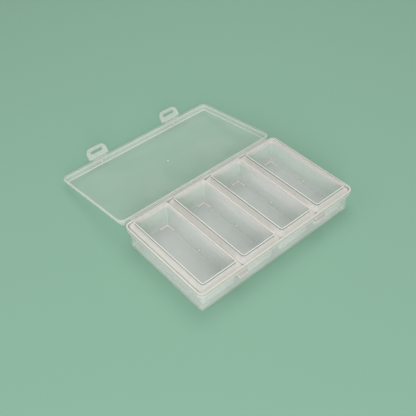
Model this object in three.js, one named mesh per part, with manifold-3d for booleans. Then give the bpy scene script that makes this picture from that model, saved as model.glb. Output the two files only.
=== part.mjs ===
// Craft organizer box: a shallow tray with four lift-out bins and a lid on a living hinge.
// The box stands as photographed: lid laid open behind the tray, latch tabs half raised.
import * as THREE from "three";
import { mergeVertices } from "three/addons/utils/BufferGeometryUtils.js";
import Module from "manifold-3d";

const wasm = await Module();
wasm.setup();

// Outline of the tray and the lid, in millimetres
const boxWidth = 202.5;
const boxDepth = 114.6;
const boxCornerRadius = 6.5;
const wallThickness = 1.2;
const fitGap = 0.3;

// Tray
const trayHeight = 28.6;
const trayBandHeight = 5;
const trayBandProud = 2.2;
const trayRimThickness = 1.7;
const trayWallDraft = 0.4;
const trayBottomRadius = 2.2;

// Catches on the front of the tray
const catchSpacing = 104;
const catchWidth = 10.8;
const catchRootWidth = 13.4;
const catchDrop = 8.4;
const catchHeight = 3.6;
const catchReach = 2.8;
const catchNoseHeight = 0.5;

// Lid
const lidDepth = 8.2;
const lidBandHeight = 2.8;
const lidBandProud = 1.2;
const lidRimThickness = 1.4;
const lidWallDraft = 0.5;
const lidBottomRadius = 1.6;
const lidRibWidth = 1.2;
const lidRibReach = 1.4;
const lidGateRadius = 1.1;
const lidGateHeight = 0.4;
const gateSink = 0.2;
const lidSettleDegrees = 8.6;

// Living hinge between tray and lid
const hingeReach = 2.4;
const hingeThickness = 0.6;
const hingeEndInset = 10;

// Latch tabs on the free edge of the lid
const tabSpacing = 102;
const tabWidth = 25;
const tabLength = 13.4;
const tabThickness = 1;
const tabCornerRadius = 6.2;
const tabBorderWidth = 1.3;
const tabBorderRaise = 0.5;
const tabLipThickness = 1.1;
const tabLipReach = 1.5;
const tabSlotWidth = 15;
const tabSlotHeight = 3.3;
const tabSlotFromCrease = 8.1;
const tabLeafLength = 1.2;
const tabLeafStart = 0.45;
const tabLeafThickness = 0.5;
const tabCreaseDepth = 0.7;
const tabStandDegrees = 62.6;

// Bins
const binCount = 4;
const binSideRoom = 3.3;
const binEndRoom = 2.1;
const binWall = 1;
const binFlangeTopBelowRim = 1.5;
const binFlangeThickness = 1;
const binFlangeCornerRadius = 4;
const binFlangeWidth = 3.8;
const binCollarHeight = 6.2;
const binCornerRadius = 3.2;
const binWallDraft = 1;
const binBottomRadius = 2;
const binRibWidth = 1.1;
const binRibProud = 0.6;
const binRibDrop = 1.2;
const binNubRadius = 0.9;
const binNubReach = 0.5;
const binNubRise = 3.2;
const binRibPlaceShares = [-0.22, 0.22];

// Steps of the rounded corners, and a right angle in degrees
const quarterTurn = 90;
const cornerSteps = 7;
const filletSteps = 3;
const circleSteps = 16;

// Places that follow from the sizes above
const trayWallTop = trayHeight - trayBandHeight;
const hingeLift = fitGap / 2;
const hingeAxis = new THREE.Vector3(0, boxDepth / 2 + hingeReach, trayHeight + hingeLift);
const lidTurn = THREE.MathUtils.degToRad(-lidSettleDegrees);
const tabOffset = fitGap + tabThickness / 2 + tabBorderRaise;
const tabCrease = new THREE.Vector3(0, hingeReach + boxDepth + tabOffset, -hingeLift - tabCreaseDepth);
const binPitch = (boxWidth - 2 * binSideRoom) / binCount;
const binFloor = wallThickness + fitGap;
const binFlangeTop = trayHeight - binFlangeTopBelowRim;

const frost = new THREE.MeshStandardMaterial({ color: 0xb4bcb0, roughness: 0.34, metalness: 0 });
const clearFrost = new THREE.MeshStandardMaterial({ color: 0xa6b8a8, roughness: 0.3, metalness: 0 });
const binFrost = new THREE.MeshStandardMaterial({ color: 0xc2c4bb, roughness: 0.32, metalness: 0 });

// One rounded rectangle, drawn anticlockwise at one height
function ring(width, depth, radius, z) {
  const points = [];
  const signs = [[1, 1], [-1, 1], [-1, -1], [1, -1]];
  signs.forEach(([sx, sy], quarter) => {
    for (let i = 0; i <= cornerSteps; i += 1) {
      const angle = (quarter + i / cornerSteps) * (Math.PI / 2);
      const x = sx * (width / 2 - radius) + radius * Math.cos(angle);
      const y = sy * (depth / 2 - radius) + radius * Math.sin(angle);
      points.push([x, y, z]);
    }
  });
  return points;
}

// The same outline drawn in by an even amount on every side
function insetRing(outline, inset, z) {
  const radius = outline.radius - Math.min(inset, outline.radius * outline.keepShare);
  return ring(outline.width - 2 * inset, outline.depth - 2 * inset, radius, z);
}

// Rings of a quarter-round edge from a flat base up to an upright wall
function filletRings(outline, inset, radius, base) {
  const rings = [];
  for (let i = 0; i <= filletSteps; i += 1) {
    const angle = (i / filletSteps) * (Math.PI / 2);
    const inward = radius * (1 - Math.sin(angle));
    rings.push(insetRing(outline, inset + inward, base + radius * (1 - Math.cos(angle))));
  }
  return rings;
}

// A closed solid through a run of rings, with flat ends
function loft(rings) {
  const count = rings[0].length;
  const index = [];
  rings.slice(1).forEach((unused, level) => {
    for (let i = 0; i < count; i += 1) {
      const next = (i + 1) % count;
      const low = level * count;
      const high = low + count;
      index.push(low + i, low + next, high + next, low + i, high + next, high + i);
    }
  });
  const last = (rings.length - 1) * count;
  for (let i = 1; i < count - 1; i += 1) {
    index.push(0, i + 1, i, last, last + i, last + i + 1);
  }
  return solidFrom(new Float32Array(rings.flat(2)), new Uint32Array(index));
}

function solidFrom(vertProperties, triVerts) {
  return new wasm.Manifold(new wasm.Mesh({ numProp: 3, vertProperties, triVerts }));
}

// Turns a library geometry into a solid
function solid(geometry) {
  const bare = new THREE.BufferGeometry();
  bare.setAttribute("position", geometry.getAttribute("position"));
  bare.setIndex(geometry.getIndex());
  const merged = mergeVertices(bare);
  return solidFrom(new Float32Array(merged.attributes.position.array), new Uint32Array(merged.index.array));
}

// A block given by its lowest and highest corner
function block(low, high) {
  const size = high.map((value, axis) => value - low[axis]);
  const geometry = new THREE.BoxGeometry(...size);
  geometry.translate(...low.map((value, axis) => value + size[axis] / 2));
  return solid(geometry);
}

// A small upright disc
function disc(radius, x, y, low, high) {
  const geometry = new THREE.CylinderGeometry(radius, radius, high - low, circleSteps);
  geometry.rotateX(Math.PI / 2);
  geometry.translate(x, y, (low + high) / 2);
  return solid(geometry);
}

// Names a solid, moves it into place and gives it its material
function piece(name, body, material, placement) {
  const mesh = body.getMesh();
  const geometry = new THREE.BufferGeometry();
  geometry.setAttribute("position", new THREE.BufferAttribute(mesh.vertProperties, 3));
  geometry.setIndex(new THREE.BufferAttribute(mesh.triVerts, 1));
  geometry.applyMatrix4(placement);
  geometry.computeVertexNormals();
  const result = new THREE.Mesh(geometry, material);
  result.name = name;
  return result;
}

function moved(x, y, z) {
  return new THREE.Matrix4().makeTranslation(x, y, z);
}

// A thin-walled shell with a stepped band round its rim, open at the top
function bandedShell(shape) {
  const outline = { width: boxWidth, depth: boxDepth, radius: boxCornerRadius, keepShare: 0.8 };
  const { base, top, bandHeight, proud, rim, draft, bottomRadius } = shape;
  const step = top - bandHeight;
  const floor = base + wallThickness;
  const innerRadius = Math.max(bottomRadius - wallThickness, wallThickness / 2);
  const inner = filletRings(outline, proud + draft + wallThickness, innerRadius, floor);
  return loft([
    ...filletRings(outline, proud + draft, bottomRadius, base),
    insetRing(outline, proud, step),
    insetRing(outline, 0, step),
    insetRing(outline, 0, top),
    insetRing(outline, rim, top),
    insetRing(outline, rim, step + wallThickness),
    insetRing(outline, proud + wallThickness, step + wallThickness),
    ...inner.reverse(),
  ]);
}

// Flat plate that runs along +Y, with its two far corners rounded
function plate(width, start, end, radius, low, high) {
  const shape = new THREE.Shape();
  shape.moveTo(-width / 2, start);
  shape.lineTo(width / 2, start);
  shape.lineTo(width / 2, end - radius);
  shape.absarc(width / 2 - radius, end - radius, radius, 0, Math.PI / 2, false);
  shape.lineTo(radius - width / 2, end);
  shape.absarc(radius - width / 2, end - radius, radius, Math.PI / 2, Math.PI, false);
  shape.closePath();
  const settings = { depth: high - low, bevelEnabled: false, curveSegments: cornerSteps };
  const geometry = new THREE.ExtrudeGeometry(shape, settings);
  geometry.translate(0, 0, low);
  return solid(geometry);
}

// Catch: a tapered wedge that slopes out from the rim band and ends in a ledge for the tab's slot
function catchWedge(x) {
  const face = -boxDepth / 2;
  const inside = face + trayBandProud + wallThickness / 2;
  const low = trayHeight - catchDrop;
  const corners = [-1, 1].flatMap((way) => {
    const root = x + way * (catchRootWidth / 2);
    const nose = x + way * (catchWidth / 2);
    return [
      [root, inside, low],
      [root, inside, low + catchHeight],
      [root, face, low],
      [root, face, low + catchHeight],
      [nose, face - catchReach, low],
      [nose, face - catchReach, low + catchNoseHeight],
    ];
  });
  return wasm.Manifold.hull(corners);
}

function tray() {
  const shell = bandedShell({
    base: 0,
    top: trayHeight,
    bandHeight: trayBandHeight,
    proud: trayBandProud,
    rim: trayRimThickness,
    draft: trayWallDraft,
    bottomRadius: trayBottomRadius,
  });
  const back = boxDepth / 2;
  const half = boxWidth / 2 - hingeEndInset;
  const leaf = block(
    [-half, back - wallThickness / 2, trayHeight - hingeThickness],
    [half, back + hingeReach - fitGap / 2, trayHeight],
  );
  const catches = catchWedge(-catchSpacing / 2).add(catchWedge(catchSpacing / 2));
  return shell.add(leaf).add(catches);
}

// Lid in its own frame: hinge line along X through the origin, free edge towards +Y
function lid() {
  const top = -hingeLift;
  const floor = top - lidDepth + wallThickness;
  const middle = hingeReach + boxDepth / 2;
  const shell = bandedShell({
    base: top - lidDepth,
    top,
    bandHeight: lidBandHeight,
    proud: lidBandProud,
    rim: lidRimThickness,
    draft: lidWallDraft,
    bottomRadius: lidBottomRadius,
  });
  const half = boxWidth / 2 - hingeEndInset;
  const leaf = block(
    [-half, fitGap / 2, top - hingeThickness],
    [half, hingeReach + wallThickness / 2, top],
  );
  const gate = disc(lidGateRadius, 0, middle, floor - gateSink, floor + lidGateHeight);
  let body = shell.translate([0, middle, 0]).add(leaf).add(gate);
  for (const side of [-1, 1]) {
    body = body.add(lidRib(side * tabSpacing / 2, floor)).add(tabLeafOnLid(side * tabSpacing / 2));
  }
  return body;
}

// Small upright rib inside the lid's far wall, behind each latch tab
function lidRib(x, floor) {
  const wall = hingeReach + boxDepth - lidBandProud - wallThickness;
  return block(
    [x - lidRibWidth / 2, wall - lidRibReach, floor - gateSink],
    [x + lidRibWidth / 2, wall + wallThickness / 2, -hingeLift - lidBandHeight],
  );
}

// The lid's half of the thin strip that a latch tab folds on
function tabLeafOnLid(x) {
  const half = tabWidth / 2 - tabCornerRadius / 2;
  return block(
    [x - half, hingeReach + boxDepth - wallThickness / 2, tabCrease.z - tabLeafThickness / 2],
    [x + half, tabCrease.y - fitGap, tabCrease.z + tabLeafThickness / 2],
  );
}

// Latch tab in its own frame: crease along X through the origin, box side towards +Z
function latchTab() {
  const half = tabThickness / 2;
  const start = tabLeafLength;
  const raised = half + tabBorderRaise;
  const body = plate(tabWidth, start, tabLength, tabCornerRadius, -half, raised);
  const innerWidth = tabWidth - 2 * tabBorderWidth;
  const innerRadius = tabCornerRadius - tabBorderWidth;
  const innerStart = start + tabBorderWidth;
  const innerEnd = tabLength - tabBorderWidth;
  const hollow = plate(innerWidth, innerStart, innerEnd, innerRadius, half, raised + fitGap);
  const lipWidth = tabWidth - 2 * tabCornerRadius;
  const lip = block(
    [-lipWidth / 2, tabLength - tabLipThickness, -half - tabLipReach],
    [lipWidth / 2, tabLength, half],
  );
  const leafHalf = tabWidth / 2 - tabCornerRadius / 2;
  const leafHeight = tabLeafThickness / 2;
  const leaf = block([-leafHalf, tabLeafStart, -leafHeight], [leafHalf, start + leafHeight, leafHeight]);
  const slotLow = tabSlotFromCrease - tabSlotHeight / 2;
  const slot = block(
    [-tabSlotWidth / 2, slotLow, -tabThickness],
    [tabSlotWidth / 2, slotLow + tabSlotHeight, tabThickness],
  );
  return body.subtract(hollow).add(lip).add(leaf).subtract(slot);
}

// Bin in its own frame: centred in X and Y, standing at its height in the tray
function bin() {
  const flangeWidth = binPitch - fitGap;
  const flangeDepth = boxDepth - 2 * binEndRoom;
  const flange = { width: flangeWidth, depth: flangeDepth, radius: binFlangeCornerRadius, keepShare: 0.5 };
  const width = flangeWidth - 2 * binFlangeWidth;
  const depth = flangeDepth - 2 * binFlangeWidth;
  const collar = { width, depth, radius: binCornerRadius, keepShare: 0.6 };
  const underFlange = binFlangeTop - binFlangeThickness;
  const top = binFlangeTop + binCollarHeight;
  const floor = binFloor + binWall;
  const inner = filletRings(collar, binWallDraft + binWall, binBottomRadius - binWall / 2, floor);
  const shell = loft([
    ...filletRings(collar, binWallDraft, binBottomRadius, binFloor),
    insetRing(collar, 0, underFlange),
    insetRing(flange, 0, underFlange),
    insetRing(flange, 0, binFlangeTop),
    insetRing(collar, 0, binFlangeTop),
    insetRing(collar, 0, top),
    insetRing(collar, binWall, top),
    ...inner.reverse(),
  ]);
  const wallFace = width / 2 - binWall - binWallDraft;
  const nub = disc(binNubRadius, 0, 0, wallFace - binNubReach, width / 2 - binWallDraft)
    .rotate([0, quarterTurn, 0])
    .translate([0, 0, floor + binNubRise]);
  let body = shell.add(nub);
  for (const share of binRibPlaceShares) {
    body = body.add(block(
      [-width / 2 - binRibProud, share * depth - binRibWidth / 2, binFlangeTop - binFlangeThickness / 2],
      [binWall / 2 - width / 2, share * depth + binRibWidth / 2, top - binRibDrop],
    ));
  }
  return body;
}

const part = new THREE.Group();
part.name = "craft_organizer_box";
part.add(piece("tray", tray(), frost, new THREE.Matrix4()));

const lidPlacement = moved(hingeAxis.x, hingeAxis.y, hingeAxis.z)
  .multiply(new THREE.Matrix4().makeRotationX(lidTurn));
part.add(piece("lid", lid(), clearFrost, lidPlacement));

["left", "right"].forEach((side, order) => {
  const x = (order - 1 / 2) * tabSpacing;
  const placement = lidPlacement.clone()
    .multiply(moved(x, tabCrease.y, tabCrease.z))
    .multiply(new THREE.Matrix4().makeRotationX(THREE.MathUtils.degToRad(tabStandDegrees)));
  part.add(piece(`latch_${side}`, latchTab(), clearFrost, placement));
});

for (let i = 0; i < binCount; i += 1) {
  const x = (i - (binCount - 1) / 2) * binPitch;
  part.add(piece(`bin_${i + 1}`, bin(), binFrost, moved(x, 0, 0)));
}

export default part;
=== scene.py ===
import math

import bmesh
import bpy
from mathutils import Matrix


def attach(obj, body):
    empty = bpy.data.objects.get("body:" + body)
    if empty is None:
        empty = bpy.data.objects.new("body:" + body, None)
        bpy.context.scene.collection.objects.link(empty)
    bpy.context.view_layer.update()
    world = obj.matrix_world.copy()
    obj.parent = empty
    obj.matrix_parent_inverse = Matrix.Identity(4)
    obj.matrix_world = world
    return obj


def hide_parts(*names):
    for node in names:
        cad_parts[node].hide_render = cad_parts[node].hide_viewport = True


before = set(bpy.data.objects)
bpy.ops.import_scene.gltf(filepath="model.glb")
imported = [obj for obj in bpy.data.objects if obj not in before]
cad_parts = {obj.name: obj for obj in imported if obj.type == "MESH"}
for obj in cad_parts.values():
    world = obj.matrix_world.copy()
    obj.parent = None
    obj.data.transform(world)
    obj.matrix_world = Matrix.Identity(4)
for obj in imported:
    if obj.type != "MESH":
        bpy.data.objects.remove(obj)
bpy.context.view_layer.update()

# Tray: the shallow body of the box, injection moulded in frosted natural
# polypropylene. A thin wall rises from a rounded base to a step, and a thicker
# upright band above the step makes the rim that the lid closes on.
mm = 0.001
tray_width = 202.5 * mm
tray_depth = 114.6 * mm
tray_height = 28.6 * mm
tray_corner = 6.5 * mm
tray_wall = 1.2 * mm
tray_band = 5 * mm
tray_proud = 2.2 * mm
tray_rim = 1.7 * mm
tray_draft = 0.4 * mm
tray_base_round = 2.2 * mm
# How far the painted highlight line round the foot of the rim band reaches from it.
tray_highlight_line = 1.1 * mm
band_bottom = tray_height - tray_band
rim_edge = 0.35 * mm
catch_spacing = 104 * mm
catch_root = 13.4 * mm
corner_steps = 10
arc_steps = 5
edge_steps = 3
sharp_angle = math.radians(35)
smooth_angle = math.radians(30)

# How near counts as the same place, and how far a normal rises from level on a
# face that looks up, at the least slope of a rounded base, and on a flat floor.
skin = 0.4 * mm
hair = 0.1 * mm
nick = 0.05 * mm
speck = 0.01 * mm
up = 0.9
least_slope = 0.1
flat = 0.99


def fix_place():
    """Writes the place, turn and size of the selected piece into its mesh."""
    bpy.ops.object.transform_apply(location=True, rotation=True, scale=True)


def take(piece):
    """Selects one piece alone and makes it the one that is worked on."""
    bpy.ops.object.select_all(action="DESELECT")
    piece.select_set(True)
    bpy.context.view_layer.objects.active = piece


def rounded_face(name, width, depth, corner, height):
    """A flat rounded rectangle that faces up, selected in edit mode."""
    bpy.ops.object.select_all(action="DESELECT")
    bpy.ops.mesh.primitive_plane_add(size=1, location=(0, 0, height))
    piece = bpy.context.object
    piece.name = name
    piece.scale = (width, depth, 1)
    fix_place()
    bpy.ops.object.mode_set(mode="EDIT")
    bpy.ops.mesh.select_mode(type="VERT")
    bpy.ops.mesh.select_all(action="SELECT")
    bpy.ops.mesh.bevel(offset=corner, segments=corner_steps, affect="VERTICES")
    bpy.ops.mesh.select_mode(type="FACE")
    bpy.ops.mesh.select_all(action="SELECT")
    return piece


def walk(steps):
    """Moves the selected face inwards and along its normal, step by step."""
    for inward, along in steps:
        bpy.ops.mesh.inset(thickness=inward, depth=along)


def quarter_round(radius, way, count=arc_steps):
    """Steps that turn an upright wall into a flat floor along an arc."""
    arc = [math.pi / 2 * i / count for i in range(count + 1)]
    return [
        (radius * (math.cos(a) - math.cos(b)), way * radius * (math.sin(b) - math.sin(a)))
        for a, b in zip(arc, arc[1:])
    ]


def faces_up(face):
    """Whether a face looks up, or nearly so."""
    return face.normal.z > up


def on_round(face, way):
    """Whether a face is part of a rounded base that looks up (1) or down (-1)."""
    return least_slope < way * face.normal.z < flat


def pick(kind, test):
    """Selects, in edit mode, only the faces or edges that pass the test."""
    bpy.ops.mesh.select_mode(type="FACE" if kind == "faces" else "EDGE")
    bpy.ops.mesh.select_all(action="DESELECT")
    mesh = bmesh.from_edit_mesh(bpy.context.object.data)
    for item in getattr(mesh, kind):
        if test(item):
            item.select_set(True)
    mesh.select_flush_mode()
    bmesh.update_edit_mesh(bpy.context.object.data)


def close_over(rise):
    """Lifts the open outline by rise, closes it with a face and selects that."""
    pick("edges", lambda edge: edge.is_boundary)
    if rise:
        bpy.ops.mesh.extrude_edges_move(TRANSFORM_OT_translate={"value": (0, 0, rise)})
    bpy.ops.mesh.edge_face_add()
    bpy.ops.mesh.select_all(action="SELECT")
    bpy.ops.mesh.normals_make_consistent(inside=False)
    top = max(v.co.z for v in bmesh.from_edit_mesh(bpy.context.object.data).verts)
    pick("faces", lambda face: faces_up(face) and all(v.co.z > top - speck for v in face.verts))


def slice_at(point, normal):
    """Cuts the whole mesh with a plane, keeping both sides."""
    bpy.ops.mesh.select_all(action="SELECT")
    bpy.ops.mesh.bisect(plane_co=point, plane_no=normal)


def banded_shell(name, height, depth, band, line, proud, rim, draft, base_round):
    """A thin tray of the box's outline with a thicker upright band round its rim."""
    piece = rounded_face(name, tray_width, tray_depth, tray_corner, height - band)
    bpy.ops.mesh.flip_normals()
    walk([(proud, 0), (draft, depth - band - base_round), *quarter_round(base_round, 1)])
    close_over(band)
    inner_round = max(base_round - tray_wall, tray_wall / 2)
    walk([
        (rim, 0),
        (0, tray_wall - band),
        (proud + tray_wall - rim, 0),
        (draft, band + inner_round - depth),
        *quarter_round(inner_round, -1),
    ])
    # Cuts across near the top and the foot of the band, so that thin strips there can take painted
    # highlight lines.
    for level in (height - line, height - band + line):
        slice_at((0, 0, level), (0, 0, 1))
    return piece


def soften(piece, edge, finishes, segments=edge_steps):
    """Gives a piece its finishes and rounds its sharp edges, which take the second one: a denser
    finish that paints the highlight the rounded edges catch.
    """
    if piece.mode == "EDIT":
        bpy.ops.object.mode_set(mode="OBJECT")
    for finish in finishes:
        piece.data.materials.append(finish)
    take(piece)
    rounding = piece.modifiers.new("rounding", "BEVEL")
    rounding.width = edge
    rounding.segments = segments
    rounding.limit_method = "ANGLE"
    rounding.angle_limit = sharp_angle
    rounding.material = 1
    bpy.ops.object.modifier_apply(modifier=rounding.name)
    bpy.ops.object.shade_smooth_by_angle(angle=smooth_angle)


def inside_outline(point):
    """How far a point lies inside the outline of tray and lid, seen from above."""
    across = abs(point.x) - tray_width / 2 + tray_corner
    along = abs(point.y) - tray_depth / 2 + tray_corner
    return tray_corner - math.hypot(max(across, 0), max(along, 0)) - min(max(across, along), 0)


def finish_faces(piece, finish, test):
    """Gives the faces that pass the test another of the piece's finishes."""
    number = piece.data.materials.find(finish)
    for face in piece.data.polygons:
        if test(face):
            face.material_index = number


def settle(piece, body):
    """Lets a finished piece ride on its body."""
    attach(piece, body)


# The frosted plastic: broad faint clouds in its colour and body, and a fine
# sanded grain that breaks up the gloss.
plastic_ior = 1.49
cloud_scale = 30
cloud_detail = 1.5
cloud_depth = 0.018
grain_detail = 5
grain_strength = 0.1
grain_height = 0.03 * mm
glossier = 0.05
duller = 0.08
noise_low = 0.3
noise_high = 0.7
box_grain = 1400


def frosted(name, light, shade, body, roughness, grain=box_grain):
    """Frosted polypropylene between two close colours. Body is how milky it is, up to 1."""
    material = bpy.data.materials.new(name)
    material.use_nodes = True
    nodes, links = material.node_tree.nodes, material.node_tree.links
    shader = nodes["Principled BSDF"]
    shader.inputs["IOR"].default_value = plastic_ior
    place = nodes.new("ShaderNodeTexCoord")

    def noise(scale, detail):
        pattern = nodes.new("ShaderNodeTexNoise")
        pattern.inputs["Scale"].default_value = scale
        pattern.inputs["Detail"].default_value = detail
        links.new(place.outputs["Object"], pattern.inputs["Vector"])
        return pattern.outputs["Fac"]

    def spread(value, low, high, socket):
        span = nodes.new("ShaderNodeMapRange")
        span.inputs["From Min"].default_value = noise_low
        span.inputs["From Max"].default_value = noise_high
        span.inputs["To Min"].default_value = low
        span.inputs["To Max"].default_value = high
        links.new(value, span.inputs["Value"])
        links.new(span.outputs["Result"], shader.inputs[socket])

    cloud = noise(cloud_scale, cloud_detail)
    tint = nodes.new("ShaderNodeMix")
    tint.data_type = "RGBA"
    tint.inputs["A"].default_value = (*shade, 1)
    tint.inputs["B"].default_value = (*light, 1)
    links.new(cloud, tint.inputs["Factor"])
    links.new(tint.outputs["Result"], shader.inputs["Base Color"])
    spread(cloud, body - cloud_depth, body + cloud_depth, "Alpha")
    frost = noise(grain, grain_detail)
    spread(frost, roughness - glossier, roughness + duller, "Roughness")
    bump = nodes.new("ShaderNodeBump")
    bump.inputs["Strength"].default_value = grain_strength
    bump.inputs["Distance"].default_value = grain_height
    links.new(frost, bump.inputs["Height"])
    links.new(bump.outputs["Normal"], shader.inputs["Normal"])
    return material


# A near-opaque peach finish for a thin strip round the foot of the rim band and for the catches'
# rounded edges: a painted highlight line.
highlight_line_plastic = frosted("tray_highlight_line_plastic", (0.98, 0.88, 0.82), (0.96, 0.86, 0.80), 0.97, 0.25)
tray_finishes = [
    frosted("tray_wall_plastic", (0.93, 0.93, 0.90), (0.89, 0.90, 0.87), 0.17, 0.3),
    # The edge finish, on the rounded edges, is a painted highlight.
    frosted("tray_edge_highlight_plastic", (0.85, 0.81, 0.765), (0.83, 0.79, 0.745), 0.95, 0.25),
    frosted("tray_band_plastic", (0.70, 0.665, 0.615), (0.68, 0.645, 0.595), 0.82, 0.28),
    # A denser pale finish, painted light: a highlight line along the base round and lighter faces
    # in the shaded gap inside the rim.
    frosted("tray_painted_light_plastic", (0.95, 0.94, 0.91), (0.92, 0.91, 0.88), 0.48, 0.28),
    highlight_line_plastic,
    frosted("tray_floor_plastic", (0.92, 0.98, 0.96), (0.90, 0.96, 0.94), 0.38, 0.3),
    frosted("tray_rim_plastic", (0.73, 0.715, 0.67), (0.71, 0.695, 0.65), 0.9, 0.28),
]
tray = banded_shell(
    "tray_shell", tray_height, tray_height, tray_band, tray_highlight_line, tray_proud, tray_rim,
    tray_draft, tray_base_round,
)
for side in (-1, 1):
    for end in (-1, 1):
        slice_at(((side * catch_spacing + end * catch_root) / 2, 0, 0), (1, 0, 0))
soften(tray, rim_edge, tray_finishes)
finish_faces(tray, "tray_band_plastic", lambda face: face.center.z > band_bottom - nick)
# The thin strip round the outside at the foot of the rim band, except where the catches stand,
# takes the painted highlight line.
finish_faces(
    tray, "tray_highlight_line_plastic",
    lambda face: abs(face.center.z - band_bottom) < tray_highlight_line
    and inside_outline(face.center) < skin
    and not (face.center.y < 0 and abs(abs(face.center.x) - catch_spacing / 2) < catch_root / 2),
)
# The outer round at the foot of the wall takes it as a painted highlight line along the base.
finish_faces(
    tray, "tray_painted_light_plastic",
    lambda face: face.center.z < tray_base_round and on_round(face, -1),
)
finish_faces(
    tray, "tray_rim_plastic", lambda face: face.center.z > tray_height - hair and faces_up(face),
)
# The rim's inner faces take it too, painted light that takes out the shade in the gap between rim
# and flanges.
finish_faces(
    tray, "tray_painted_light_plastic",
    lambda face: face.center.z > band_bottom and inside_outline(face.center) > tray_rim - hair,
)
finish_faces(
    tray, "tray_floor_plastic",
    lambda face: face.center.z < tray_wall + hair and abs(face.normal.z) > flat,
)
settle(tray, "tray")
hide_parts("tray")

# Catches: two wedges moulded on the front of the tray. Each one slopes out from
# the rim band and ends in a ledge that a latch tab's slot hooks under.
catch_width = 10.8 * mm
catch_low = tray_height - 8.4 * mm
catch_high = catch_low + 3.6 * mm
catch_nose = catch_low + 0.5 * mm
catch_reach = 2.8 * mm
catch_edge = 0.2 * mm
catch_face = -tray_depth / 2
catch_inside = catch_face + tray_proud + 0.6 * mm


def block(name, low, high):
    """A box between two corners, left in edit mode with nothing selected."""
    bpy.ops.object.select_all(action="DESELECT")
    middle = [(a + b) / 2 for a, b in zip(low, high)]
    bpy.ops.mesh.primitive_cube_add(size=1, location=middle)
    piece = bpy.context.object
    piece.name = name
    piece.scale = [b - a for a, b in zip(low, high)]
    fix_place()
    bpy.ops.object.mode_set(mode="EDIT")
    bpy.ops.mesh.select_all(action="DESELECT")
    return piece


def twin(piece, name, shift):
    """A copy of a piece with its own mesh, moved by shift."""
    take(piece)
    bpy.ops.object.duplicate()
    copy = bpy.context.object
    copy.name = name
    copy.location = shift
    fix_place()
    return copy


catch = block(
    "catch_left",
    (-(catch_spacing + catch_root) / 2, catch_face - catch_reach, catch_low),
    ((catch_root - catch_spacing) / 2, catch_inside, catch_high),
)
slice_at((0, catch_face, 0), (0, 1, 0))
slice_at((0, 0, catch_nose), (0, 0, 1))
pick("edges", lambda edge: all(
    v.co.z > catch_high - hair and v.co.y < catch_face - hair for v in edge.verts))
bpy.ops.transform.translate(value=(0, catch_reach, 0))
bpy.ops.mesh.select_all(action="SELECT")
bpy.ops.mesh.remove_doubles(threshold=speck)
pick("edges", lambda edge: all(v.co.y < catch_face - hair for v in edge.verts))
bpy.ops.transform.resize(
    value=(catch_width / catch_root, 1, 1),
    center_override=(-catch_spacing / 2, catch_face, catch_low),
)
catch_plastic = frosted("catch_plastic", (0.57, 0.55, 0.515), (0.55, 0.53, 0.495), 0.8, 0.28)
# The catch's rounded edges take the painted highlight line.
soften(catch, catch_edge, [catch_plastic, highlight_line_plastic])
for piece in (catch, twin(catch, "catch_right", (catch_spacing, 0, 0))):
    settle(piece, "tray")

# Hinge strip, tray side: the thin web moulded along the back rim. It thins
# towards the crease, where it goes on into the lid's own web.
hinge_reach = 2.4 * mm
hinge_half = tray_width / 2 - 10 * mm
hinge_root = 0.6 * mm
hinge_thickness = 0.6 * mm
hinge_thinning = 0.5
hinge_edge = 0.1 * mm
small_edge_steps = 2
crease_gap = 0.15 * mm


def hinge_web(name, near, far, top, finishes):
    """A thin strip along X that thins from near, at the rim, to far, at the crease."""
    piece = block(
        name,
        (-hinge_half, min(near, far), top - hinge_thickness),
        (hinge_half, max(near, far), top),
    )
    pick("faces", lambda face: abs(face.calc_center_median().y - far) < nick)
    bpy.ops.transform.resize(value=(1, 1, hinge_thinning), center_override=(0, far, top))
    soften(piece, hinge_edge, finishes, small_edge_steps)
    return piece


tray_web = hinge_web(
    "tray_hinge_web", tray_depth / 2 - hinge_root, tray_depth / 2 + hinge_reach - crease_gap,
    tray_height, tray_finishes,
)
settle(tray_web, "tray")

# Bins: four loose bins of the same plastic, dropped in side by side. Each has a
# drafted body, a flat flange that meets its neighbours, and a collar that stands
# up above the flange.
bin_count = 4
bins_clear = 6.6 * mm
bin_pitch = (tray_width - bins_clear) / bin_count
bin_floor = 1.5 * mm
bin_wall = 1 * mm
bin_draft = 1 * mm
bin_base_round = 2 * mm
bin_inner_round = bin_base_round - bin_wall
bin_edge = 0.22 * mm
flange_reach = 3.8 * mm
flange_gap = 0.3 * mm
flange_clear = 4.2 * mm
flange_width = bin_pitch - flange_gap
flange_depth = tray_depth - flange_clear
flange_corner = 4 * mm
flange_top = tray_height - 1.5 * mm
flange_thickness = 1 * mm
under_flange = flange_top - flange_thickness
collar_width = flange_width - 2 * flange_reach
collar_depth = flange_depth - 2 * flange_reach
collar_corner = 3.2 * mm
collar_top = flange_top + 6.2 * mm
# Height of the strip below the collar's top edge that takes the painted shade line.
collar_shade_strip = 1.8 * mm
collar_lip = 0.2 * mm
hollow_width = collar_width - 2 * bin_wall
hollow_depth = collar_depth - 2 * bin_wall
hollow_corner = 2.2 * mm
hollow_over = 1 * mm
hollow_arc_steps = 4
edge_lean = 0.5
# How far the painted L-shaped highlight in each bin's floor round runs from the back right corner.
corner_highlight_reach = 10 * mm
corner_highlight_x = collar_width / 2 - bin_wall - bin_draft - corner_highlight_reach
corner_highlight_y = collar_depth / 2 - bin_wall - bin_draft - corner_highlight_reach
bin_grain = 1600


def plug(name, width, depth, corner, top, steps):
    """A closed solid that goes down from a rounded outline at height top."""
    piece = rounded_face(name, width, depth, corner, top)
    bpy.ops.mesh.flip_normals()
    walk(steps)
    close_over(0)
    bpy.ops.object.mode_set(mode="OBJECT")
    return piece


def carve(piece, other, operation):
    """Adds or cuts one solid with another, which is used up."""
    take(piece)
    change = piece.modifiers.new("change", "BOOLEAN")
    change.operation = operation
    change.solver = "EXACT"
    change.object = other
    bpy.ops.object.modifier_apply(modifier=change.name)
    bpy.data.objects.remove(other)


def upright(face, lean):
    """Whether a face is part of a wall, leaning up or down by less than lean."""
    return abs(face.normal.z) < lean


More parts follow.
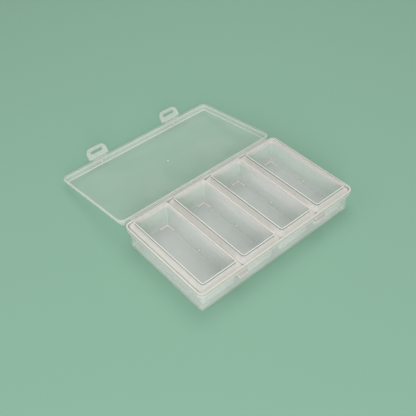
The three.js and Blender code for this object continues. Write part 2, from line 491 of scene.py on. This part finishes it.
bin_walls = ((0.945, 0.955, 0.935), (0.92, 0.935, 0.915))
bin_finishes = [
    frosted("bin_wall_plastic", *bin_walls, 0.28, 0.28, bin_grain),
    # The edge finish is a painted highlight on the rounded edges, the collar's top and the nub.
    frosted("bin_edge_highlight_plastic", (0.84, 0.80, 0.76), (0.82, 0.78, 0.74), 0.92, 0.25, bin_grain),
    frosted("bin_flange_plastic", (0.80, 0.78, 0.735), (0.77, 0.75, 0.705), 0.76, 0.34, bin_grain),
    frosted("bin_base_plastic", *bin_walls, 0.22, 0.28, bin_grain),
    # A dark teal finish for the strip just below the collar's top: a painted shade line.
    frosted("bin_painted_shade_plastic", (0.16, 0.25, 0.21), (0.13, 0.22, 0.18), 0.77, 0.22, bin_grain),
    # A pale dense finish for the floor round at the back right corner: a painted L-shaped
    # highlight.
    frosted("bin_corner_highlight_plastic", (0.95, 0.89, 0.84), (0.92, 0.86, 0.81), 0.75, 0.28, bin_grain),
]
bin_shell = plug("bin_shell", collar_width, collar_depth, collar_corner, collar_top, [
    # This first step only marks off the strip for the painted shade line.
    (0, collar_shade_strip),
    (0, collar_top - collar_shade_strip - under_flange),
    (bin_draft, under_flange - bin_floor - bin_base_round),
    *quarter_round(bin_base_round, 1),
])
flange = plug(
    "flange", flange_width, flange_depth, flange_corner, flange_top, [(0, flange_thickness)],
)
carve(bin_shell, flange, "UNION")
hollow = plug(
    "hollow", hollow_width, hollow_depth, hollow_corner, collar_top + hollow_over, [
        (0, hollow_over + collar_top - under_flange),
        (bin_draft, under_flange - bin_floor - bin_wall - bin_inner_round),
        *quarter_round(bin_inner_round, 1, hollow_arc_steps),
    ])
bpy.ops.object.mode_set(mode="EDIT")
# Cuts the hollow where the painted corner highlight ends.
slice_at((corner_highlight_x, 0, 0), (1, 0, 0))
slice_at((0, corner_highlight_y, 0), (0, 1, 0))
bpy.ops.object.mode_set(mode="OBJECT")
carve(bin_shell, hollow, "DIFFERENCE")
soften(bin_shell, bin_edge, bin_finishes)

# Small details moulded on each bin: two short ribs outside the collar's left
# wall, and a round nub low on the inner face of the right wall.
rib_out = -collar_width / 2 - 0.6 * mm
rib_in = -collar_width / 2 + 0.4 * mm
rib_root = flange_top - 0.4 * mm
rib_top = collar_top - 1.2 * mm
rib_half = 0.55 * mm
rib_from_middle = 0.22
rib_taper = (0.6, 0.7, 1)
rib_edge = 0.2 * mm
nub_sides = 24
nub_radius = 0.9 * mm
nub_length = 1.2 * mm
nub_edge = 0.25 * mm
nub_in_wall = 0.1 * mm
nub_rise = 3.2 * mm
nub_x = collar_width / 2 - bin_wall - bin_draft + nub_in_wall
nub_place = (nub_x, 0, bin_floor + bin_wall + nub_rise)

details = []
for way in (-1, 1):
    middle = way * rib_from_middle * collar_depth
    rib = block("rib", (rib_out, middle - rib_half, rib_root), (rib_in, middle + rib_half, rib_top))
    pick("faces", faces_up)
    bpy.ops.transform.resize(value=rib_taper, center_override=(rib_in, middle, rib_top))
    soften(rib, rib_edge, bin_finishes, small_edge_steps)
    details.append(rib)
bpy.ops.object.select_all(action="DESELECT")
bpy.ops.mesh.primitive_cylinder_add(
    vertices=nub_sides, radius=nub_radius, depth=nub_length, location=nub_place,
    rotation=(0, math.pi / 2, 0),
)
nub = bpy.context.object
fix_place()
soften(nub, nub_edge, bin_finishes)
# The whole nub takes the edge finish: a painted highlight dot.
finish_faces(nub, "bin_edge_highlight_plastic", lambda face: True)
take(bin_shell)
for piece in (*details, nub):
    piece.select_set(True)
bpy.ops.object.join()

# The whole bin's finishes, by where each face lies, and its four copies.
outer_x = collar_width / 2 - nick
outer_y = outer_x + (collar_depth - collar_width) / 2
shade_strip_low = collar_top - collar_shade_strip
finish_faces(
    bin_shell, "bin_flange_plastic",
    lambda face: under_flange - hair < face.center.z < shade_strip_low
    and (abs(face.center.x) > outer_x or abs(face.center.y) > outer_y),
)
finish_faces(
    bin_shell, "bin_flange_plastic",
    lambda face: under_flange - hair < face.center.z < flange_top + hair
    and abs(face.normal.z) > up,
)
finish_faces(
    bin_shell, "bin_base_plastic",
    lambda face: face.center.z < bin_floor + bin_base_round
    and (on_round(face, 1) or on_round(face, -1)),
)
# The floor round near the back right corner takes the painted L-shaped highlight.
finish_faces(
    bin_shell, "bin_corner_highlight_plastic",
    lambda face: face.center.x > corner_highlight_x and face.center.y > corner_highlight_y
    and face.center.z < bin_floor + bin_wall + bin_inner_round and on_round(face, 1),
)
# The upright faces of the strip just below the collar's top edge take the dark finish, a painted
# shade line.
finish_faces(
    bin_shell, "bin_painted_shade_plastic",
    lambda face: shade_strip_low < face.center.z < collar_top - collar_lip and upright(face, edge_lean),
)
# The collar's top edge takes the edge finish: a painted highlight line.
finish_faces(
    bin_shell, "bin_edge_highlight_plastic", lambda face: face.center.z > collar_top - collar_lip,
)
for order in range(bin_count):
    shift = (order - (bin_count - 1) / 2) * bin_pitch
    piece = twin(bin_shell, f"bin_{order + 1}_shell", (shift, 0, 0))
    settle(piece, f"bin_{order + 1}")
    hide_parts(f"bin_{order + 1}")
bpy.data.objects.remove(bin_shell)

# Lid: a shallow tray of the same moulding, laid open behind the box. It is made
# flat, with its hinge line along X, and then laid over at the angle it rests at.
lid_depth = 8.2 * mm
lid_band = 2.8 * mm
# How far the lid's painted highlight lines reach from its rim and from its step.
lid_highlight_line = 0.35 * mm
lid_proud = 1.2 * mm
lid_rim = 1.4 * mm
lid_draft = 0.5 * mm
lid_base_round = 1.6 * mm
lid_floor_edge = 0.7 * mm
wall_lean = 0.3
lid_lift = 0.15 * mm
lid_angle = math.radians(-8.6)
lid_hinge = (0, tray_depth / 2 + hinge_reach, tray_height + lid_lift)
lid_middle = hinge_reach + tray_depth / 2
lid_step = -lid_lift - lid_band
lid_base = -lid_lift - lid_depth
lid_floor = lid_base + tray_wall


def lay_over(piece):
    """Turns a piece from the lid's flat frame to where the open lid lies."""
    take(piece)
    piece.location = lid_hinge
    piece.rotation_euler = (lid_angle, 0, 0)
    fix_place()


# The lid's edge finish is a painted highlight on its rounded edges, rim and step lines, ribs and
# gate mark.
lid_edge_highlight_plastic = frosted(
    "lid_edge_highlight_plastic", (0.85, 0.81, 0.765), (0.83, 0.79, 0.745), 0.72, 0.25)
lid_band_plastic = frosted("lid_band_plastic", (0.96, 0.945, 0.92), (0.93, 0.92, 0.89), 0.2, 0.28)
lid_finishes = [
    frosted("lid_wall_plastic", (0.95, 0.945, 0.92), (0.92, 0.92, 0.89), 0.095, 0.3),
    lid_edge_highlight_plastic,
    lid_band_plastic,
    frosted("lid_outer_plastic", (0.84, 0.82, 0.765), (0.82, 0.80, 0.745), 0.28, 0.28),
]
lid = banded_shell(
    "lid_shell", -lid_lift, lid_depth, lid_band, lid_highlight_line, lid_proud, lid_rim, lid_draft,
    lid_base_round,
)
soften(lid, rim_edge, lid_finishes)
finish_faces(
    lid, "lid_band_plastic",
    lambda face: face.center.z > lid_step - nick or upright(face, wall_lean),
)
finish_faces(
    lid, "lid_outer_plastic",
    lambda face: upright(face, wall_lean) and face.normal.dot(face.center) > 0,
)
# Thin strips at the lid's outer top edge and at its step take the edge finish: painted highlight
# lines.
finish_faces(
    lid, "lid_edge_highlight_plastic",
    lambda face: inside_outline(face.center) < skin
    and (face.center.z > -lid_lift - lid_highlight_line or abs(face.center.z - lid_step) < lid_highlight_line),
)
finish_faces(
    lid, "lid_band_plastic",
    lambda face: face.center.z < lid_base + lid_base_round and on_round(face, -1),
)
# The round where the panel meets the walls inside takes it too: a painted highlight line.
finish_faces(
    lid, "lid_edge_highlight_plastic",
    lambda face: face.center.z < lid_floor + lid_floor_edge and on_round(face, 1),
)
lid.location = (0, lid_middle, 0)
fix_place()
lay_over(lid)
settle(lid, "lid")
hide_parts("lid")

# Hinge strip, lid side, with the two small ribs inside the far wall and the
# round mark that the moulding gate left in the middle of the panel.
far_wall = hinge_reach + tray_depth - lid_proud - tray_wall
tab_spacing = 102 * mm
lid_rib_half = 0.6 * mm
lid_rib_near = far_wall - 1.4 * mm
lid_rib_far = far_wall + 0.3 * mm
lid_rib_root = lid_floor - 0.2 * mm
lid_rib_taper = (0.8, 0.6, 1)
lid_rib_edge = 0.25 * mm
gate_sides = 32
gate_radius = 1.1 * mm
gate_height = 0.6 * mm
gate_middle = lid_floor + 0.1 * mm
gate_edge = 0.15 * mm

lid_web = hinge_web(
    "lid_hinge_web", hinge_reach + hinge_root, crease_gap, -lid_lift, lid_finishes,
)
lay_over(lid_web)
lid_details = [lid_web]
for side, way in (("left", -1), ("right", 1)):
    x = way * tab_spacing / 2
    rib = block(
        f"lid_rib_{side}",
        (x - lid_rib_half, lid_rib_near, lid_rib_root),
        (x + lid_rib_half, lid_rib_far, lid_step),
    )
    pick("faces", faces_up)
    bpy.ops.transform.resize(value=lid_rib_taper, center_override=(x, far_wall, 0))
    soften(rib, lid_rib_edge, [lid_edge_highlight_plastic, lid_edge_highlight_plastic], small_edge_steps)
    lay_over(rib)
    lid_details.append(rib)
bpy.ops.object.select_all(action="DESELECT")
bpy.ops.mesh.primitive_cylinder_add(
    vertices=gate_sides, radius=gate_radius, depth=gate_height,
    location=(0, lid_middle, gate_middle),
)
gate = bpy.context.object
gate.name = "lid_gate_mark"
fix_place()
soften(gate, gate_edge, [lid_edge_highlight_plastic, lid_edge_highlight_plastic], small_edge_steps)
lay_over(gate)
for piece in (*lid_details, gate):
    settle(piece, "lid")

# Latch tabs: a flap on each thin crease along the lid's free edge. Each is a
# plate with a raised border, a slot that snaps over the catch and a curled lip.
tab_width = 25 * mm
tab_length = 13.4 * mm
tab_thickness = 1 * mm
tab_border = 1.3 * mm
tab_raise = 0.5 * mm
tab_slope = 0.3 * mm
tab_start = 1.2 * mm
tab_corner = 6.2 * mm
tab_corner_steps = 9
tab_edge = 0.3 * mm
tab_angle = math.radians(62.6)
lip_start = tab_length - 1.1 * mm
lip_drop = 1.5 * mm
lip_clouded = tab_length - 2 * mm
slot_middle = 8.1 * mm
slot_width = 15 * mm
slot_height = 3.3 * mm
slot_corner = 0.5 * mm
slot_corner_steps = 4
slot_border = 0.5 * mm
leaf_half = (tab_width - tab_corner) / 2
leaf_start = 0.45 * mm
leaf_overlap = 0.3 * mm
leaf_half_thickness = 0.25 * mm
leaf_root = hinge_reach + tray_depth - 0.6 * mm
leaf_edge = 0.1 * mm
crease_out = hinge_reach + tray_depth + 0.3 * mm + tab_thickness / 2 + tab_raise
crease_down = -lid_lift - 0.7 * mm
fold_gap = 0.3 * mm

latch_finishes = [
    frosted("latch_plate_plastic", (0.80, 0.80, 0.77), (0.78, 0.78, 0.75), 0.32, 0.3),
    # The edge finish, on the tab's rounded edges, is a painted highlight.
    frosted("latch_edge_highlight_plastic", (0.84, 0.81, 0.765), (0.82, 0.79, 0.745), 0.48, 0.25),
    frosted("latch_lip_plastic", (0.82, 0.81, 0.78), (0.80, 0.79, 0.76), 0.38, 0.28),
    frosted("latch_side_plastic", (0.84, 0.81, 0.75), (0.82, 0.79, 0.73), 0.8, 0.28),
]


def height_of(edge):
    """How far an edge rises from one end to the other."""
    return abs(edge.verts[0].co.z - edge.verts[1].co.z)


tab = block(
    "tab",
    (-tab_width / 2, tab_start, -tab_thickness / 2),
    (tab_width / 2, tab_length, tab_thickness / 2 + tab_raise),
)
pick("edges", lambda edge: height_of(edge) > tab_thickness
     and all(v.co.y > tab_length - hair for v in edge.verts))
bpy.ops.mesh.bevel(offset=tab_corner, segments=tab_corner_steps, affect="EDGES")
pick("faces", faces_up)
walk([(tab_border, 0), (tab_slope, -tab_raise)])
slice_at((0, lip_start, 0), (0, 1, 0))
pick("faces", lambda face: face.normal.z < -up and face.calc_center_median().y > lip_start + hair)
bpy.ops.mesh.extrude_region_move(TRANSFORM_OT_translate={"value": (0, 0, -lip_drop)})
bpy.ops.object.mode_set(mode="OBJECT")
slot = block(
    "slot",
    (-slot_width / 2, slot_middle - slot_height / 2, -2 * tab_thickness),
    (slot_width / 2, slot_middle + slot_height / 2, 2 * tab_thickness),
)
pick("edges", lambda edge: height_of(edge) > tab_thickness)
bpy.ops.mesh.bevel(offset=slot_corner, segments=slot_corner_steps, affect="EDGES")
bpy.ops.object.mode_set(mode="OBJECT")
carve(tab, slot, "DIFFERENCE")
leaf = block(
    "leaf",
    (-leaf_half, leaf_start, -leaf_half_thickness),
    (leaf_half, tab_start + leaf_overlap, leaf_half_thickness),
)
bpy.ops.object.mode_set(mode="OBJECT")
carve(tab, leaf, "UNION")
soften(tab, tab_edge, latch_finishes)
finish_faces(
    tab, "latch_lip_plastic",
    lambda face: face.material_index == 0 and face.center.y > lip_clouded,
)
finish_faces(
    tab, "latch_side_plastic",
    lambda face: upright(face, edge_lean)
    and (abs(face.center.x) > slot_width / 2 + slot_border
         or abs(face.center.y - slot_middle) > slot_height / 2 + slot_border),
)
for side, way in (("left", -1), ("right", 1)):
    x = way * tab_spacing / 2
    lid_leaf = block(
        f"lid_tab_leaf_{side}",
        (x - leaf_half, leaf_root, crease_down - leaf_half_thickness),
        (x + leaf_half, crease_out - fold_gap, crease_down + leaf_half_thickness),
    )
    soften(lid_leaf, leaf_edge, [lid_band_plastic, lid_edge_highlight_plastic], small_edge_steps)
    lay_over(lid_leaf)
    settle(lid_leaf, "lid")
    flap = twin(tab, f"latch_{side}_flap", (0, 0, 0))
    flap.rotation_euler = (tab_angle, 0, 0)
    flap.location = (x, crease_out, crease_down)
    fix_place()
    lay_over(flap)
    settle(flap, f"latch_{side}")
    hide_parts(f"latch_{side}")
bpy.data.objects.remove(tab)

# Floor: a plain pale green-grey sheet of paper that the box stands on. It runs
# far out, so that no edge of it shows from the photograph's side.
floor_size = 8
floor_drop = 0.1 * mm
floor_colour = (0.25, 0.45, 0.335, 1)
floor_roughness = 0.9

bpy.ops.object.select_all(action="DESELECT")
bpy.ops.mesh.primitive_plane_add(size=floor_size, location=(0, 0, -floor_drop))
floor = bpy.context.object
floor.name = "floor"
paper = bpy.data.materials.new("pale_paper")
paper.use_nodes = True
paper.node_tree.nodes["Principled BSDF"].inputs["Base Color"].default_value = floor_colour
paper.node_tree.nodes["Principled BSDF"].inputs["Roughness"].default_value = floor_roughness
floor.data.materials.append(paper)

# Light: a soft panel overhead, a weaker one from the left, the strongest one
# from the front left, and an even pale surround. All three point at the box.
surround_colour = (0.96, 0.95, 0.93, 1)
surround_strength = 0.46
panels = (  # name, place, side in metres, watts
    ("overhead", (0.25, 0.25, 1.1), 0.9, 4.5),
    ("left", (-0.9, 0.2, 0.8), 0.7, 1.5),
    ("front", (-0.85, -1.2, 0.7), 0.9, 16),
)

surround = bpy.data.worlds.new("surround")
bpy.context.scene.world = surround
surround.use_nodes = True
surround.node_tree.nodes["Background"].inputs["Color"].default_value = surround_colour
surround.node_tree.nodes["Background"].inputs["Strength"].default_value = surround_strength
for name, place, size, power in panels:
    lamp = bpy.data.lights.new(name, "AREA")
    lamp.size = size
    lamp.energy = power
    holder = bpy.data.objects.new(name, lamp)
    bpy.context.scene.collection.objects.link(holder)
    holder.location = place
    aim = -holder.location.normalized()
    holder.rotation_euler = aim.to_track_quat("-Z", "Y").to_euler()

# Camera: at the height and turn that the photograph was taken from. Light may
# pass through many see-through walls before it stops.
camera_place = (-0.30965, -0.32071, 0.47155)
camera_turn = (45.054, 1.1745, -40.965)
camera_lens = 55.22
camera_sensor = 36
camera_near = 0.01
see_through_walls = 32

camera = bpy.data.objects.new("camera", bpy.data.cameras.new("camera"))
bpy.context.scene.collection.objects.link(camera)
camera.location = camera_place
camera.rotation_euler = [math.radians(angle) for angle in camera_turn]
camera.data.lens = camera_lens
camera.data.sensor_width = camera_sensor
camera.data.clip_start = camera_near
bpy.context.scene.camera = camera
bpy.context.scene.view_settings.view_transform = "Standard"
bpy.context.scene.cycles.transparent_max_bounces = see_through_walls
